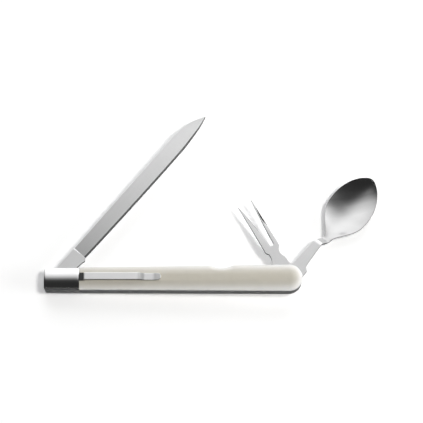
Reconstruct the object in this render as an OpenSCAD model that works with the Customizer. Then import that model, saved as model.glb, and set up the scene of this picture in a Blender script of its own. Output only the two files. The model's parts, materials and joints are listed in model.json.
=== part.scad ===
// Folding picnic cutlery: a pen-shaped pocket handle with a knife hinged at its bolster end
// and a fork and a spoon hinged together at its round end. X runs along the handle towards
// the round end, Y towards the side the tools open on, Z out of the front scale.
// The origin is the middle of the back scale's flat crown.

/* [Handle] */
// Length from the bolster end to the round end
handle_len = 135; // [134:0.5:137]
// Radius of the round end
end_r = 7.05; // [7:0.01:7.2]
// Width at the bolster end
bolster_w = 11.5; // [11.4:0.1:11.8]
// Length of the two bolsters
bolster_len = 18.6; // [17.5:0.1:19.5]
// Depth of the thumb notch that bares the closed knife's spine
notch_depth = 1.4; // [0.6:0.1:1.6]

/* [Layers] */
// Thickness of a scale at its crown
scale_t = 2.6; // [2.6:0.1:3]
// Thickness of the front and back liners
liner_t = 0.5; // [0.4:0.05:0.7]
// Thickness of the dividers between the tools
divider_t = 0.4; // [0.3:0.05:0.6]
// Thickness of the knife at its hinge
knife_t = 1.9; // [1.7:0.1:2.1]
// Thickness of the fork, and of the spoon at its hinge
tool_t = 1.7; // [1.6:0.1:1.8]
// Play on each side of a tool
side_gap = 0.05; // [0.03:0.01:0.08]

/* [Tools] */
// Angle of the knife from closed, as laid out
knife_open = 50.3; // [0:0.1:180]
// Angle of the fork from closed, as laid out
fork_open = 59; // [0:1:180]
// Angle of the spoon from closed, as laid out
spoon_open = 127; // [0:1:180]
// Reach of the knife's point from its hinge
knife_reach = 116.4; // [112:0.1:116.5]
// Reach of the fork's points from their hinge
fork_reach = 46.1; // [42:0.1:47]
// Length of the spoon's bowl
bowl_len = 42.3; // [40:0.1:43]
// Width of the spoon's bowl
bowl_w = 24.1; // [22:0.1:24.5]
// Depth of the spoon's bowl inside
bowl_depth = 5; // [4.7:0.1:5.2]
// Radius of the two hinge pins
pin_r = 1.25; // [1.1:0.05:1.3]
// Radial clearance of a tool on its hinge pin
pin_gap = 0.04; // [0.02:0.01:0.08]

/* [Clip] */
// Length of the pocket clip past its root block
clip_len = 40.2; // [36:0.1:42]
// Width of the pocket clip
clip_w = 3.8; // [3.4:0.1:4]
// Thickness of the pocket clip's strip
clip_t = 0.65; // [0.5:0.05:0.8]
// Room for cloth between the clip and the front scale
clip_room = 1.7; // [1.2:0.1:2]

/* [Hidden] */
$fn = 96;

bolster_x = -handle_len / 2;
scale_x = bolster_x + bolster_len;
end_x = handle_len / 2 - end_r;
end_y = 0.25;
bolster_y = -0.45;
corner_r = 1.2;
line_tilt = atan((end_y - bolster_y) / (end_x - bolster_x));

back_liner_z = scale_t;
spoon_z = back_liner_z + liner_t;
tool_layer_t = tool_t + 2 * side_gap;
fork_spoon_divider_z = spoon_z + tool_layer_t;
fork_z = fork_spoon_divider_z + divider_t;
knife_fork_divider_z = fork_z + tool_layer_t;
knife_z = knife_fork_divider_z + divider_t;
knife_layer_t = knife_t + 2 * side_gap;
front_liner_z = knife_z + knife_layer_t;
front_scale_z = front_liner_z + liner_t;
front_z = front_scale_z + scale_t;

knife_hinge_inset = 8.4;
tool_hinge_inset = 6.2;
knife_hinge = [bolster_x + knife_hinge_inset, 1.6];
tool_hinge = [handle_len / 2 - tool_hinge_inset, 2.2];
hole_r = pin_r + pin_gap;
spring_face_y = -3.3;
spring_play = 0.05;
knife_tang_r = knife_hinge.y - spring_face_y - spring_play;
tool_tang_r = tool_hinge.y - spring_face_y - spring_play;

rivet_r = 0.7;
rivet_head_r = 1.15;
rivet_head_t = 0.4;
rivets = [[-16, -5.05], [22, -5.33]];
bush_r = 2.4;
pin_head_r = 1.9;
pin_head_t = 0.6;
stud_r = 0.8;
stud_depth = 1.2;
scale_stud_spots = [[-34, 0], [8, 0.3]];
bolster_stud_inset = 15;
bolster_stud_spot = [bolster_x + bolster_stud_inset, -1.5];

scale_dome_r = 12.4;
crown_cut = 0.1;
bolster_dome_r = 8.6;
notch_x = 25.3;
notch_half = 5.5;
notch_r = (notch_half * notch_half + notch_depth * notch_depth) / (2 * notch_depth);
notch_share = (end_x - notch_x) / (end_x - bolster_x);
notch_edge_y = (end_y + end_r) * (1 - notch_share) + (bolster_y + bolster_w / 2) * notch_share;

neck_cut_x = [31.4, 39.9];
neck_cut_y = -0.1;
neck_cut_r = 1;

clip_y = 0.1;
clip_root_len = 2.3;
clip_root_t = 2.7;
clip_root_top = front_z + 1.3;
clip_gap = 0.1;
clip_x = scale_x + clip_root_len + clip_gap;
clip_z = front_z + 0.3;
clip_press_z = 0.05;
clip_rivet_r = 0.6;

plunge_u = 15.3;
bowl_u = 29;
bowl_t = 0.9;
bowl_p = 3.05;
rim_z = -0.35;
bowl_rows = 26;
bowl_columns = 16;
widest = 0.53;
rim_flare = 0.38;
neck_half = 2.2;
tool_cut = 40;

// A cubic curve through a and d, pulled towards b and c
function curve(a, b, c, d, steps) = [for (i = [0:steps]) let (t = i / steps, s = 1 - t)
    s * s * s * a + 3 * s * s * t * b + 3 * s * t * t * c + t * t * t * d];

// ---------- handle outlines ----------

module handle_outline() {
    low = bolster_y - bolster_w / 2;
    high = bolster_y + bolster_w / 2;
    union() {
        polygon([[bolster_x, low + corner_r], [bolster_x + corner_r, low], [end_x, end_y - end_r],
            [end_x, end_y + end_r], [bolster_x + corner_r, high], [bolster_x, high - corner_r]]);
        translate([end_x, end_y]) circle(r = end_r);
        translate([bolster_x + corner_r, low + corner_r]) circle(r = corner_r);
        translate([bolster_x + corner_r, high - corner_r]) circle(r = corner_r);
    }
}

module thumb_notch() {
    translate([notch_x, notch_edge_y - notch_depth + notch_r]) circle(r = notch_r, $fn = 180);
}

// The part of the outline between two places along the handle
module outline_between(from_x, to_x) {
    intersection() {
        handle_outline();
        translate([from_x, -tool_cut]) square([to_x - from_x, 2 * tool_cut]);
    }
}

// The clearance for the spoon's neck when it is folded round the back
module neck_cut() {
    corner_y = neck_cut_y + neck_cut_r;
    width = neck_cut_x[1] - neck_cut_x[0];
    translate([neck_cut_x[0], corner_y]) square([width, tool_cut]);
    translate([neck_cut_x[0] + neck_cut_r, neck_cut_y])
        square([width - 2 * neck_cut_r, 2 * neck_cut_r]);
    translate([neck_cut_x[0] + neck_cut_r, corner_y]) circle(r = neck_cut_r);
    translate([neck_cut_x[1] - neck_cut_r, corner_y]) circle(r = neck_cut_r);
}

// ---------- plates ----------

module plate(z, t) {
    translate([0, 0, z]) linear_extrude(t) difference() {
        handle_outline();
        thumb_notch();
        translate(knife_hinge) circle(r = pin_r);
        translate(tool_hinge) circle(r = pin_r);
        for (spot = rivets) translate(spot) circle(r = rivet_r);
    }
}

module stud_holes(z, t) {
    for (spot = scale_stud_spots) translate([spot.x, spot.y, z]) cylinder(r = stud_r, h = t);
    translate([bolster_stud_spot.x, bolster_stud_spot.y, z]) cylinder(r = stud_r, h = t);
}

module front_liner() {
    color([0.3, 0.31, 0.33]) difference() {
        plate(front_liner_z, liner_t);
        stud_holes(front_liner_z - 1, liner_t + 2);
        translate([scale_x + clip_root_len / 2, clip_y, front_liner_z - 1])
            cylinder(r = clip_rivet_r, h = liner_t + 2);
    }
}

module back_liner() {
    color([0.3, 0.31, 0.33]) difference() {
        plate(back_liner_z, liner_t);
        stud_holes(back_liner_z - 1, liner_t + 2);
        translate([0, 0, back_liner_z - 1]) linear_extrude(liner_t + 2) neck_cut();
    }
}

module knife_fork_divider() {
    color([0.34, 0.35, 0.37]) plate(knife_fork_divider_z, divider_t);
}

module fork_spoon_divider() {
    color([0.34, 0.35, 0.37]) plate(fork_spoon_divider_z, divider_t);
}

// ---------- scales and bolsters ----------

// A long round-backed solid whose crown lies at z = 0 and whose round end closes like a ball
module scale_dome() {
    centre_z = scale_dome_r - crown_cut;
    translate([end_x, end_y, centre_z]) {
        sphere(r = scale_dome_r);
        rotate([0, 0, line_tilt]) rotate([0, -90, 0]) cylinder(r = scale_dome_r, h = handle_len);
    }
}

// The back scale's solid, before its holes: the front one is its mirror image
module scale_body() {
    intersection() {
        linear_extrude(scale_t) difference() {
            outline_between(scale_x, handle_len);
            thumb_notch();
        }
        scale_dome();
    }
}

module scale_holes() {
    depth = scale_t - stud_depth;
    for (spot = scale_stud_spots)
        translate([spot.x, spot.y, depth]) cylinder(r = stud_r, h = scale_t);
    for (spot = rivets)
        translate([spot.x, spot.y, scale_t - rivet_head_t]) cylinder(r = rivet_head_r, h = scale_t);
    translate([tool_hinge.x, tool_hinge.y, scale_t - pin_head_t]) cylinder(r = pin_head_r, h = scale_t);
}

module back_scale() {
    color([0.91, 0.9, 0.86]) difference() {
        scale_body();
        scale_holes();
        translate([0, 0, -1]) linear_extrude(scale_t + 2) neck_cut();
    }
}

module front_scale() {
    color([0.91, 0.9, 0.86]) difference() {
        translate([0, 0, front_z]) mirror([0, 0, 1]) difference() {
            scale_body();
            scale_holes();
        }
        translate([scale_x - 1, clip_y - clip_w / 2, clip_root_top - clip_root_t])
            cube([clip_root_len + 1, clip_w, clip_root_t]);
        translate([scale_x + clip_root_len / 2, clip_y, front_scale_z - 1])
            cylinder(r = clip_rivet_r, h = scale_t + 2);
    }
}

// The barrel that rounds a bolster, with its crown at z = 0
module bolster_dome() {
    translate([bolster_x - 1, bolster_y, bolster_dome_r])
        rotate([0, 0, line_tilt]) rotate([0, 90, 0]) cylinder(r = bolster_dome_r, h = bolster_len + 2);
}

// The back bolster, before its colour: the front one is its mirror image
module bolster_body() {
    difference() {
        intersection() {
            linear_extrude(scale_t) outline_between(bolster_x - 1, scale_x);
            bolster_dome();
        }
        translate([knife_hinge.x, knife_hinge.y, -1]) cylinder(r = pin_r, h = scale_t + 2);
        translate([bolster_stud_spot.x, bolster_stud_spot.y, scale_t - stud_depth])
            cylinder(r = stud_r, h = scale_t);
    }
}

module back_bolster() {
    color([0.8, 0.81, 0.82]) bolster_body();
}

module front_bolster() {
    color([0.8, 0.81, 0.82]) translate([0, 0, front_z]) mirror([0, 0, 1]) bolster_body();
}

// ---------- springs and spacers ----------

// A back spring fills its layer between the handle's edge and an inner line
module spring(z, t, inner) {
    far = -tool_cut;
    translate([0, 0, z]) linear_extrude(t) difference() {
        intersection() {
            handle_outline();
            polygon(concat([[bolster_x - 1, far]], inner, [[handle_len, far]]));
        }
        for (spot = rivets) translate(spot) circle(r = rivet_r);
    }
}

module knife_spring() {
    color([0.5, 0.51, 0.53]) spring(knife_z, knife_layer_t, [[bolster_x - 1, spring_face_y],
        [-43, spring_face_y], [22, -4.05], [46, -4.05], [56, -3.4], [handle_len, -3.4]]);
}

// The fork's and the spoon's springs bear on their tangs near the round end
tool_spring_line = [[bolster_x - 1, spring_face_y], [48, spring_face_y],
    [handle_len / 2 - 0.6, spring_face_y], [handle_len / 2 - 0.6, -tool_cut]];

module fork_spring() {
    color([0.5, 0.51, 0.53]) spring(fork_z, tool_layer_t, tool_spring_line);
}

module spoon_spring() {
    color([0.5, 0.51, 0.53]) spring(spoon_z, tool_layer_t, tool_spring_line);
}

// A plate that fills a tool layer under the bolsters, round the knife's hinge pin
module layer_spacer(z, t) {
    translate([0, 0, z]) linear_extrude(t) difference() {
        intersection() {
            handle_outline();
            translate([bolster_x - 1, spring_face_y + 0.1]) square([bolster_len - 3, tool_cut]);
        }
        translate(knife_hinge) circle(r = pin_r);
    }
}

module fork_layer_spacer() {
    color([0.62, 0.63, 0.64]) layer_spacer(fork_z, tool_layer_t);
}

module spoon_layer_spacer() {
    color([0.62, 0.63, 0.64]) layer_spacer(spoon_z, tool_layer_t);
}

module knife_layer_bush() {
    color([0.62, 0.63, 0.64]) translate([tool_hinge.x, tool_hinge.y, knife_z]) difference() {
        cylinder(r = bush_r, h = knife_layer_t);
        translate([0, 0, -1]) cylinder(r = pin_r, h = knife_layer_t + 2);
    }
}

// ---------- pins ----------

// The knife's pin runs through both bolsters and is dressed flush with their domes
module knife_hinge_pin() {
    color([0.75, 0.76, 0.77]) intersection() {
        translate([knife_hinge.x, knife_hinge.y, 0]) cylinder(r = pin_r, h = front_z);
        union() {
            translate([0, 0, scale_t]) linear_extrude(front_scale_z - scale_t) handle_outline();
            dressed_end();
            translate([0, 0, front_z]) mirror([0, 0, 1]) dressed_end();
        }
    }
}

// Room for a pin's end, dressed flush with the bolster it comes through
module dressed_end() {
    intersection() {
        linear_extrude(scale_t) handle_outline();
        bolster_dome();
    }
}

module fork_spoon_hinge_pin() {
    color([0.75, 0.76, 0.77]) translate([tool_hinge.x, tool_hinge.y, 0]) {
        translate([0, 0, back_liner_z]) cylinder(r = pin_r, h = front_scale_z - back_liner_z);
        translate([0, 0, back_liner_z - pin_head_t]) cylinder(r = pin_head_r, h = pin_head_t);
        translate([0, 0, front_scale_z]) cylinder(r = pin_head_r, h = pin_head_t);
    }
}

module spring_rivets() {
    color([0.75, 0.76, 0.77]) for (spot = rivets) translate([spot.x, spot.y, 0]) {
        translate([0, 0, back_liner_z]) cylinder(r = rivet_r, h = front_scale_z - back_liner_z);
        translate([0, 0, back_liner_z - rivet_head_t]) cylinder(r = rivet_head_r, h = rivet_head_t);
        translate([0, 0, front_scale_z]) cylinder(r = rivet_head_r, h = rivet_head_t);
    }
}

// Short studs hold each scale on its liner
module scale_studs() {
    height = stud_depth + liner_t;
    color([0.75, 0.76, 0.77]) for (spot = scale_stud_spots) {
        translate([spot.x, spot.y, scale_t - stud_depth]) cylinder(r = stud_r, h = height);
        translate([spot.x, spot.y, front_liner_z]) cylinder(r = stud_r, h = height);
    }
}

// One stud keeps each bolster from turning on the hinge pin
module bolster_studs() {
    height = stud_depth + liner_t;
    color([0.75, 0.76, 0.77]) {
        for (low = [scale_t - stud_depth, front_liner_z])
            translate([bolster_stud_spot.x, bolster_stud_spot.y, low]) cylinder(r = stud_r, h = height);
    }
}

// ---------- pocket clip ----------

module clip_root() {
    low = clip_root_top - clip_root_t;
    color([0.22, 0.22, 0.23]) difference() {
        translate([scale_x, clip_y - clip_w / 2, low]) cube([clip_root_len, clip_w, clip_root_t]);
        translate([scale_x + clip_root_len / 2, clip_y, low - 1])
            cylinder(r = clip_rivet_r, h = clip_root_t);
    }
}

module clip_rivet() {
    top = clip_root_top - 1;
    color([0.75, 0.76, 0.77]) translate([scale_x + clip_root_len / 2, clip_y, front_liner_z])
        cylinder(r = clip_rivet_r, h = top - front_liner_z);
}

// Side view of the clip: a foot at its root, a raised strip, a step down to where it presses on
// the scale, and a turned-up tip
module clip_side() {
    high = clip_room - (clip_z - front_z);
    press = clip_press_z - (clip_z - front_z);
    bend_r = 0.6;
    step_u = clip_len - 10.2;
    step_run = 1.6;
    tip_run = 4.2;
    tip_rise = 1;
    step = curve([step_u - step_run, high], [step_u, high], [step_u, press],
        [step_u + step_run, press], 8);
    tip = curve([clip_len - tip_run, press], [clip_len - tip_run * 0.8, press],
        [clip_len - tip_run / 2, press + tip_rise * 0.4], [clip_len, press + tip_rise], 6);
    under = concat(step, tip);
    over = [for (i = [len(under) - 1:-1:0]) under[i] + [0, clip_t]];
    top = high + clip_t;
    bend = curve([bend_r, top], [bend_r / 2, top], [0, top - bend_r / 2], [0, top - bend_r], 4);
    polygon(concat([[0, 0], [clip_t, 0], [clip_t, high]], under, over, bend));
}

module pocket_clip() {
    color([0.82, 0.83, 0.84]) intersection() {
        translate([clip_x, clip_y, clip_z]) rotate([90, 0, 0])
            translate([0, 0, -clip_w]) linear_extrude(2 * clip_w) clip_side();
        translate([clip_x, clip_y, front_z]) linear_extrude(clip_room + 2) union() {
            translate([-1, -clip_w / 2]) square([clip_len - clip_w / 2 + 1, clip_w]);
            translate([clip_len - clip_w / 2, 0]) circle(r = clip_w / 2);
        }
    }
}

// ---------- knife ----------

// Outlines of the tools lie along +X from their hinge, with +Y the side that opens first

module knife_outline() {
    heel = [[0, -knife_tang_r], [4, -knife_tang_r], [8.6, -3.8], [12.9, -4.35], [13.9, -4.83],
        [14.6, -4.4], [plunge_u, -3.6]];
    belly = concat(curve([16.2, -3.9], [40, -4.6], [68, -5.1], [92, -5.05], 12),
        curve([95, -5], [104, -4.6], [111, -3.8], [knife_reach, -2.1], 8));
    back = curve([knife_reach - 1, -1.3], [112, 0.6], [108, 4.15], [98, 4.2], 8);
    polygon(concat(heel, belly, back, [[0, 4.2]]));
    intersection() {
        circle(r = knife_tang_r);
        translate([-tool_cut, -tool_cut]) square([tool_cut + 2.2, 2 * tool_cut]);
    }
}

// The blade is ground thin from its plunge line on, and thinner still towards the edge
module knife_grind() {
    spine_p = 4.3;
    spine_half = 0.36 * knife_t;
    edge_p = -5.5;
    edge_half = 0.12;
    translate([-tool_cut, -tool_cut, 0]) cube([tool_cut + plunge_u, 2 * tool_cut, knife_t]);
    translate([plunge_u - 0.5, 0, knife_t / 2]) rotate([90, 0, 90]) linear_extrude(knife_reach)
        polygon([[spine_p, spine_half], [edge_p, edge_half],
            [edge_p, -edge_half], [spine_p, -spine_half]]);
}

module knife_blade() {
    color([0.78, 0.78, 0.79]) translate([knife_hinge.x, knife_hinge.y, knife_z + side_gap])
        rotate([0, 0, knife_open]) difference() {
            intersection() {
                linear_extrude(knife_t) knife_outline();
                knife_grind();
            }
            translate([0, 0, -1]) cylinder(r = hole_r, h = knife_t + 2);
        }
}

// ---------- fork ----------

// The fork's two tines, from a crotch between them to fine points
module fork_outline() {
    low_side = concat([[0, -tool_tang_r], [9.2, -tool_tang_r]],
        curve([10.2, -5.25], [11.8, -3.7], [13.5, -3.6], [15.4, -3.7], 5),
        curve([16.8, -4.9], [24, -4.5], [36, -4.35], [fork_reach, -4.2], 6));
    low_inner = curve([fork_reach - 0.4, -4], [38, -2.7], [28, -1.4], [20, -0.75], 6);
    crotch_u = 19.7;
    crotch_p = 0.35;
    crotch_r = 1.1;
    crotch = [for (a = [-60:30:60]) [crotch_u - crotch_r * cos(a), crotch_p + crotch_r * sin(a)]];
    high_inner = curve([20, 1.5], [28, 1.95], [38, 2.9], [fork_reach - 0.4, 3.75], 6);
    high_side = concat(curve([fork_reach, 3.95], [36, 4.1], [24, 3.75], [17.2, 3.75], 6),
        curve([16.4, 2.9], [14.5, 1.6], [12.5, 1.6], [10.4, 3.05], 5), [[8.6, 3.3], [3.4, 3.4]]);
    polygon(concat(low_side, low_inner, crotch, high_inner, high_side, [[0, 3.4]]));
    intersection() {
        circle(r = tool_tang_r);
        translate([-tool_cut, -tool_cut]) square([tool_cut + 0.5, tool_cut + 4.4]);
    }
}

module fork() {
    color([0.8, 0.8, 0.81]) translate([tool_hinge.x, tool_hinge.y, fork_z + side_gap])
        rotate([0, 0, -fork_open]) mirror([1, 0, 0]) difference() {
            linear_extrude(tool_t) fork_outline();
            translate([0, 0, -1]) cylinder(r = hole_r, h = tool_t + 2);
        }
}

// ---------- spoon ----------

// Half the bowl's width at a share s of its length: a flared neck, then a blunt point
function bowl_half(s) = s < widest
    ? neck_half + (bowl_w / 2 - neck_half) * (1 + cos(180 * pow(1 - s / widest, 1.45))) / 2
    : bowl_w / 2 * pow(1 - pow((s - widest) / (1 - widest), 1.85), 0.62);

// The bowl's depth a share c across from -1 to 1: round, with a rim that flares a little
function bowl_profile(c) = (1 - rim_flare) * (1 - pow(abs(c), 2.1)) + rim_flare * (1 + cos(180 * c)) / 2;

// How far the bowl's inside lies under its rim at share s of its length
function bowl_drop(s, c) = bowl_depth * pow(bowl_half(s) / (bowl_w / 2), 0.8)
    * (1 - pow(1 - min(1, s * 4), 2)) * bowl_profile(c);

function bowl_point(i, j, drop) = let (s = 0.994 * i / bowl_rows, c = 2 * j / bowl_columns - 1)
    [bowl_u + s * bowl_len, bowl_p + c * bowl_half(s), rim_z - bowl_drop(s, c) - drop];

// The bowl is a skin of even thickness between an inner and an outer grid of points
module bowl() {
    row = bowl_columns + 1;
    sheet = row * (bowl_rows + 1);
    points = [for (drop = [0, bowl_t], i = [0:bowl_rows], j = [0:bowl_columns]) bowl_point(i, j, drop)];
    inside = [for (i = [0:bowl_rows - 1], j = [0:bowl_columns - 1]) let (a = i * row + j)
        for (f = [[a, a + 1, a + row + 1], [a, a + row + 1, a + row]]) f];
    outside = [for (f = inside) [f[0] + sheet, f[2] + sheet, f[1] + sheet]];
    sides = [for (i = [0:bowl_rows - 1], k = [0, 1])
        let (j = k * bowl_columns, a = i * row + j, b = a + row)
        for (f = [[a, b, b + sheet], [a, b + sheet, a + sheet]]) k == 0 ? f : [f[0], f[2], f[1]]];
    ends = [for (j = [0:bowl_columns - 1], k = [0, 1])
        let (a = k * bowl_rows * row + j, b = a + 1)
        for (f = [[a, b + sheet, b], [a, a + sheet, b + sheet]]) k == 0 ? f : [f[0], f[2], f[1]]];
    polyhedron(points = points, faces = concat(inside, outside, sides, ends), convexity = 6);
}

// Plan of the spoon's tang, stem and neck
module spoon_outline() {
    polygon(concat([[0, -tool_tang_r], [5.2, -tool_tang_r]],
        curve([5.9, -4.4], [6.4, -3.2], [8, -2.9], [11, -2.8], 5),
        [[23.6, -1.7], [bowl_u, bowl_p - neck_half], [bowl_u + 1.5, bowl_p - neck_half]],
        [[bowl_u + 1.5, bowl_p + neck_half], [bowl_u, bowl_p + neck_half], [24.4, 3]],
        curve([14, 3.3], [11, 3.3], [9.6, 3.4], [8.9, 4.1], 5), [[7.7, tool_tang_r], [0, tool_tang_r]]));
    intersection() {
        circle(r = tool_tang_r);
        translate([-tool_cut, -tool_cut]) square([tool_cut + 0.5, 2 * tool_cut]);
    }
}

// Side view of the spoon's stem: straight in its layer, then stepping down behind the handle
module spoon_side() {
    low = spoon_z + side_gap;
    high = low + tool_t;
    under = curve([23.2, low - 0.1], [24.6, 2.2], [26.2, -0.9], [28.2, rim_z - bowl_t], 5);
    over = curve([bowl_u, rim_z], [27.4, 0.1], [26.4, 3.4], [24.4, high - 0.25], 5);
    into_bowl = [[bowl_u + 1.5, rim_z - bowl_t - 0.3], [bowl_u + 1.5, rim_z - 0.3]];
    polygon(concat([[-tool_cut, low], [22.6, low]], under, into_bowl, over,
        [[23.4, high], [-tool_cut, high]]));
}

module spoon() {
    color([0.8, 0.8, 0.82]) translate([tool_hinge.x, tool_hinge.y, 0])
        rotate([0, 0, -spoon_open]) mirror([1, 0, 0]) difference() {
            union() {
                intersection() {
                    translate([0, 0, rim_z - 3]) linear_extrude(tool_cut) spoon_outline();
                    rotate([90, 0, 0]) translate([0, 0, -tool_cut])
                        linear_extrude(2 * tool_cut) spoon_side();
                }
                bowl();
            }
            translate([0, 0, spoon_z - 1]) cylinder(r = hole_r, h = tool_t + 3);
        }
}

front_scale();
back_scale();
front_bolster();
back_bolster();
front_liner();
back_liner();
knife_fork_divider();
fork_spoon_divider();
knife_spring();
fork_spring();
spoon_spring();
fork_layer_spacer();
spoon_layer_spacer();
knife_layer_bush();
knife_hinge_pin();
fork_spoon_hinge_pin();
spring_rivets();
scale_studs();
bolster_studs();
clip_root();
clip_rivet();
pocket_clip();
knife_blade();
fork();
spoon();
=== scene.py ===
import json
import math

import bmesh
import bpy
import numpy as np
from mathutils import Matrix, Vector


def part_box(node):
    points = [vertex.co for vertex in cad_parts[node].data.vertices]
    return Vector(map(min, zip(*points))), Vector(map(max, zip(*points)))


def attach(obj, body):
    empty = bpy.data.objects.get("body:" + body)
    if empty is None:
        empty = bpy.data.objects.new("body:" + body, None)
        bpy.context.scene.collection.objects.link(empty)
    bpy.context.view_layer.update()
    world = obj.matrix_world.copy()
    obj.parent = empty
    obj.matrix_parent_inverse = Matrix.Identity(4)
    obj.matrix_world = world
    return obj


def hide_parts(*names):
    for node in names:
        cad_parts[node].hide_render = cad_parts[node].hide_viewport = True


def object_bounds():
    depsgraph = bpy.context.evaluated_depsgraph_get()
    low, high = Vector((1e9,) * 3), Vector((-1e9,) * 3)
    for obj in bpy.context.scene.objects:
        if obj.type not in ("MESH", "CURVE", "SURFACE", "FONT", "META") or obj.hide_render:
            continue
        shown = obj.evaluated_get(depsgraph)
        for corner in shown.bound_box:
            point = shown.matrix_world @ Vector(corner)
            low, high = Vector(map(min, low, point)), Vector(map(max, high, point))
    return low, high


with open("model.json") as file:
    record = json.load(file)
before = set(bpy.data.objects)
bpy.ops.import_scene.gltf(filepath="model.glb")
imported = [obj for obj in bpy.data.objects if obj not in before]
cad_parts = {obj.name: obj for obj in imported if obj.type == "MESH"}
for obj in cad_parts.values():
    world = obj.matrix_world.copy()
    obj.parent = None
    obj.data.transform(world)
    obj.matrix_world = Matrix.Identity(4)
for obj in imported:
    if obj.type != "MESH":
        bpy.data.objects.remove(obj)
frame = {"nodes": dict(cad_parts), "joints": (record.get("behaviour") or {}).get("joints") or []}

# Folding picnic cutlery. Every length below is in millimetres; make_mesh() turns them into metres.
MM = 0.001
cad_low, cad_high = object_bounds()


# ---------- places taken from the frame ----------

def node_box(name):
    """A CAD node's lowest and highest corner."""
    low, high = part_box(name)
    return Vector(low) / MM, Vector(high) / MM


def hinge(name):
    """A hinge's place, and how far its tool stands open at rest, in degrees."""
    joint = next(j for j in frame["joints"] if j["name"] == name)
    return Vector(joint["pos_m"]) / MM, -joint["range_deg"][0]


KNIFE_HINGE, KNIFE_OPEN = hinge("knife_hinge")
TOOL_HINGE, FORK_OPEN = hinge("fork_hinge")
SPOON_OPEN = hinge("spoon_hinge")[1]
SCALE_LOW, SCALE_HIGH = node_box("front_scale")
BACK_LOW, BACK_HIGH = node_box("back_scale")
BOLSTER_LOW = node_box("front_bolster")[0]
SCALES_MIDDLE_Z = (BACK_LOW.z + SCALE_HIGH.z) / 2
BORE_R = 1.29


# ---------- curves and meshes ----------

def curve(a, b, c, d, steps=12):
    """Points of a cubic curve from a to d, pulled towards b and c."""
    points = []
    for i in range(steps + 1):
        t = i / steps
        s = 1 - t
        shares = (s ** 3, 3 * s * s * t, 3 * s * t * t, t ** 3)
        points.append(tuple(sum(w * p[k] for w, p in zip(shares, (a, b, c, d))) for k in (0, 1)))
    return points


def along(points, u):
    """A polyline's second coordinate where its first is u."""
    us, values = zip(*points)
    return float(np.interp(u, us, values))


def smooth(a, b, x):
    """A soft step from 0 at a to 1 at b."""
    t = min(1, max(0, (x - a) / (b - a)))
    return t * t * (3 - 2 * t)


def rounding(radius, inside):
    """How far a rounded edge lies below its face, at a place that far inside the edge."""
    return radius - math.sqrt(radius ** 2 - max(0, radius - inside) ** 2)


def make_mesh(name, points, faces, sharp=35):
    """A mesh object, shaded smooth except over edges sharper than that many degrees."""
    data = bpy.data.meshes.new(name)
    data.from_pydata([Vector(p) * MM for p in points], [], faces)
    b = bmesh.new()
    b.from_mesh(data)
    bmesh.ops.dissolve_degenerate(b, edges=b.edges, dist=1e-7)
    bmesh.ops.recalc_face_normals(b, faces=b.faces)
    for face in b.faces:
        face.smooth = True
    for edge in b.edges:
        edge.smooth = edge.is_manifold and edge.calc_face_angle() < math.radians(sharp)
    b.to_mesh(data)
    b.free()
    piece = bpy.data.objects.new(name, data)
    bpy.context.scene.collection.objects.link(piece)
    return piece


def make_solid(name, sheets, sharp=35):
    """A closed solid from sheets of rows of (x, y, top, under), with walls where no sheet goes on."""
    found, points, faces = {}, [], []
    for sheet in sheets:
        rows = []
        for row in sheet:
            rows.append([])
            for point in row:
                key = (round(point[0], 4), round(point[1], 4))
                if key not in found:
                    found[key] = len(points)
                    points.append(point)
                rows[-1].append(found[key])
        for a, b in zip(rows, rows[1:]):
            for j in range(len(a) - 1):
                corners = list(dict.fromkeys((a[j], a[j + 1], b[j + 1], b[j])))
                if len(corners) > 2:
                    faces.append(corners)
    edges = {(a, b) for face in faces for a, b in zip(face, face[1:] + face[:1])}
    count = len(points)
    under = [[count + k for k in reversed(face)] for face in faces]
    walls = [(b, a, count + a, count + b) for a, b in edges if (b, a) not in edges]
    corners = [(x, y, top) for x, y, top, _ in points] + [(x, y, low) for x, y, _, low in points]
    return make_mesh(name, corners, faces + under + sorted(walls), sharp)


def bake(piece):
    """Works the piece's modifiers into its mesh."""
    bpy.context.view_layer.update()
    made = piece.evaluated_get(bpy.context.evaluated_depsgraph_get())
    piece.data = bpy.data.meshes.new_from_object(made)
    piece.modifiers.clear()


def cut(piece, cutter):
    """Takes the cutter's volume out of the piece, and removes the cutter."""
    hole = piece.modifiers.new("cut", "BOOLEAN")
    hole.operation = "DIFFERENCE"
    hole.solver = "EXACT"
    hole.object = cutter
    bake(piece)
    bpy.data.objects.remove(cutter)


def prism(outline, low, high):
    """A closed upright prism, for cutting."""
    n = len(outline)
    points = [(x, y, z) for z in (low, high) for x, y in outline]
    faces = [tuple(reversed(range(n))), tuple(range(n, 2 * n))]
    faces += [(k, (k + 1) % n, n + (k + 1) % n, n + k) for k in range(n)]
    return make_mesh("cutter", points, faces)


def circle(centre, radius, sides=48):
    turns = [math.tau * k / sides for k in range(sides)]
    return [(centre[0] + radius * math.cos(t), centre[1] + radius * math.sin(t)) for t in turns]


def turned(sheet, centre, angle, mirrored):
    """Turns rows of (u, p, top, under) from a tool's own axes to where it lies at rest."""
    c, s = math.cos(math.radians(angle)), math.sin(math.radians(angle))
    side = -1 if mirrored else 1
    return [
        [(centre.x + side * (u * c - p * s), centre.y + u * s + p * c, top, under)
         for u, p, top, under in row]
        for row in sheet]


# ---------- materials ----------

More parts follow.
